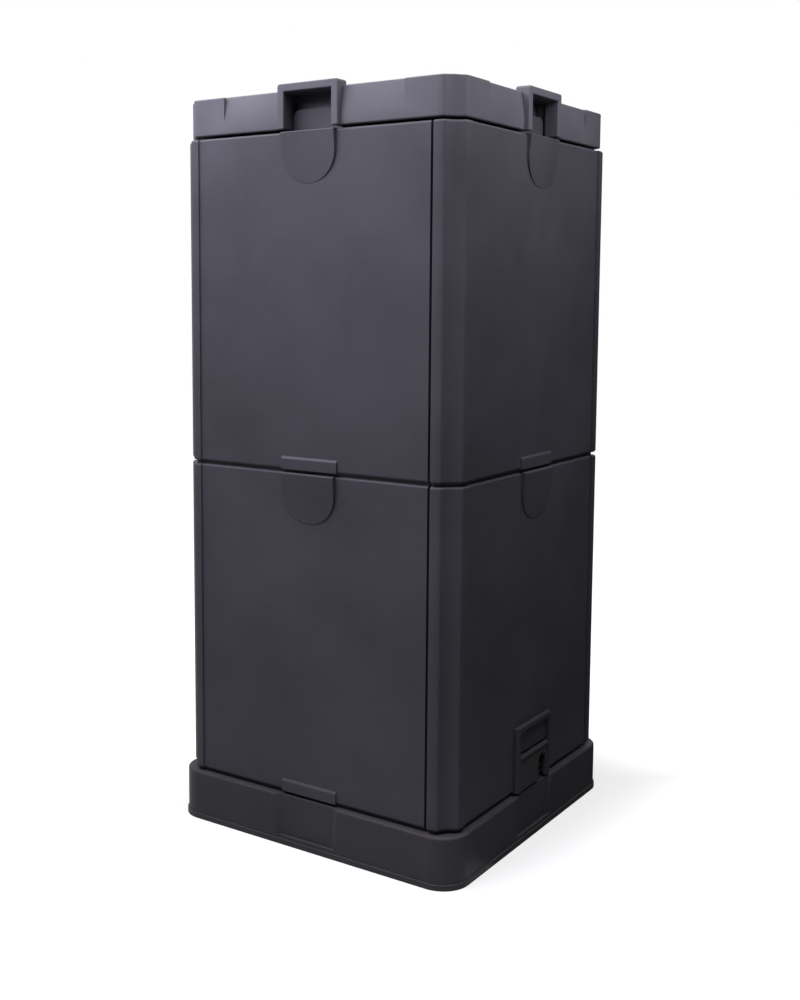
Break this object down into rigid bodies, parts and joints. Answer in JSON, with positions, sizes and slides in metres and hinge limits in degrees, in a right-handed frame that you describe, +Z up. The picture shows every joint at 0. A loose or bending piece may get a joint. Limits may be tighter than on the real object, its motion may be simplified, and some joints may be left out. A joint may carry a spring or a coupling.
{
  "type": "hot composter",
  "caption": "Square insulated garden composter: two tiers of foam-filled wall panels on a leachate tray, a lift-off lid, a central air duct and a drain tap behind a flap.",
  "frame": {"origin": "middle of the base tray's footprint, on the ground", "axes": "+Z up the tower, front face towards -Y, the side with the tap towards +X"},
  "size_m": [0.54, 0.54, 1.191],
  "materials": {
    "panel_skin": "satin",
    "lid_plastic": "satin",
    "tray_plastic": "satin",
    "liner": "matte",
    "foam": "matte",
    "duct_plastic": "matte",
    "seal_rubber": "matte",
    "washer_rubber": "matte",
    "tap_plastic": "satin",
    "lever_plastic": "satin",
    "pin_steel": "brushed"
  },
  "bodies": {
    "root": {"base_skirt": "tray_plastic", "base_tray": "tray_plastic", "tray_feet": "tray_plastic", "deck_ledge": "tray_plastic", "air_chimney": "tray_plastic", "draining_deck": "liner", "air_grille": "duct_plastic", "duct_foot": "duct_plastic", "lower_duct": "duct_plastic", "upper_duct": "duct_plastic", "duct_cap": "duct_plastic", "lower_front_skin": "panel_skin", "lower_right_skin": "panel_skin", "lower_back_skin": "panel_skin", "lower_left_skin": "panel_skin", "upper_front_skin": "panel_skin", "upper_right_skin": "panel_skin", "upper_back_skin": "panel_skin", "upper_left_skin": "panel_skin", "lower_front_core": "foam", "lower_right_core": "foam", "lower_back_core": "foam", "lower_left_core": "foam", "upper_front_core": "foam", "upper_right_core": "foam", "upper_back_core": "foam", "upper_left_core": "foam", "lower_front_liner": "liner", "lower_right_liner": "liner", "lower_back_liner": "liner", "lower_left_liner": "liner", "upper_front_liner": "liner", "upper_right_liner": "liner", "upper_back_liner": "liner", "upper_left_liner": "liner", "lower_corner_keys": "liner", "upper_corner_keys": "liner", "tap_body": "tap_plastic", "tap_washer": "washer_rubber", "tap_nut": "tap_plastic", "tap_hood": "tray_plastic", "flap_pin": "pin_steel"},
    "lid": {"lid_shell": "lid_plastic", "lid_core": "foam", "lid_liner": "liner", "lid_seal": "seal_rubber", "front_pocket": "lid_plastic", "right_pocket": "lid_plastic", "back_pocket": "lid_plastic", "left_pocket": "lid_plastic", "front_handle": "lid_plastic", "right_handle": "lid_plastic", "back_handle": "lid_plastic", "left_handle": "lid_plastic"},
    "lever": {"tap_lever": "lever_plastic"},
    "flap": {"tap_flap": "tray_plastic"}
  },
  "joints": [
    {"name": "lid_lift", "type": "slide", "parent": "root", "child": "lid", "axis": [0, 0, 1], "range_m": [0, 0.15]},
    {"name": "lever_turn", "type": "hinge", "parent": "root", "child": "lever", "pos_m": [0.241, 0.03, 0.1], "axis": [0, 0, 1], "range_deg": [0, 90]},
    {"name": "flap_swing", "type": "hinge", "parent": "root", "child": "flap", "pos_m": [0.2625, 0, 0.138], "axis": [0, -1, 0], "range_deg": [0, 100]}
  ]
}
